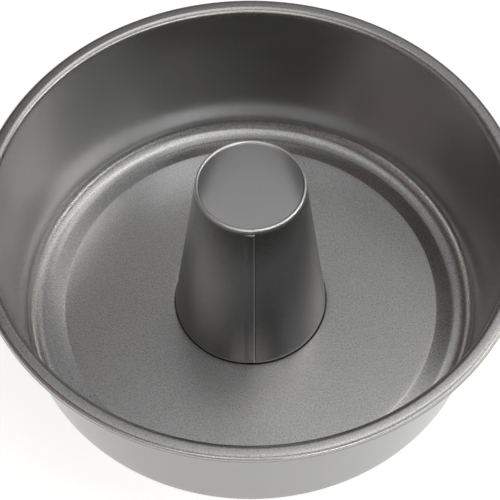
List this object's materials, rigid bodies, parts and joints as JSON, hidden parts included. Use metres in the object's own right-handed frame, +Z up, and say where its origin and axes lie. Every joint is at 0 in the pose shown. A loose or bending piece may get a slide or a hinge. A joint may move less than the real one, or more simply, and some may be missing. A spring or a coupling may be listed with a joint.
{
  "type": "ring cake pan",
  "caption": "Round ring cake pan with plain tapered walls, a flattened rolled rim, a pressed raised floor and a tapered centre tube crimped into it.",
  "frame": {"origin": "on the pan's axis, on the surface that it stands on", "axes": "+Z up along the pan's axis, -Y towards the seam of the centre tube"},
  "size_m": [0.244, 0.244, 0.095],
  "materials": {
    "shell_coating": "satin grey release coating with a fine metallic grain, on pressed steel sheet",
    "tube_coating": "smooth satin grey release coating on rolled steel sheet",
    "wire_steel": "drawn steel wire"
  },
  "bodies": {
    "root": {"pan_shell": "shell_coating", "centre_tube": "tube_coating", "rim_wire": "wire_steel"}
  },
  "joints": []
}
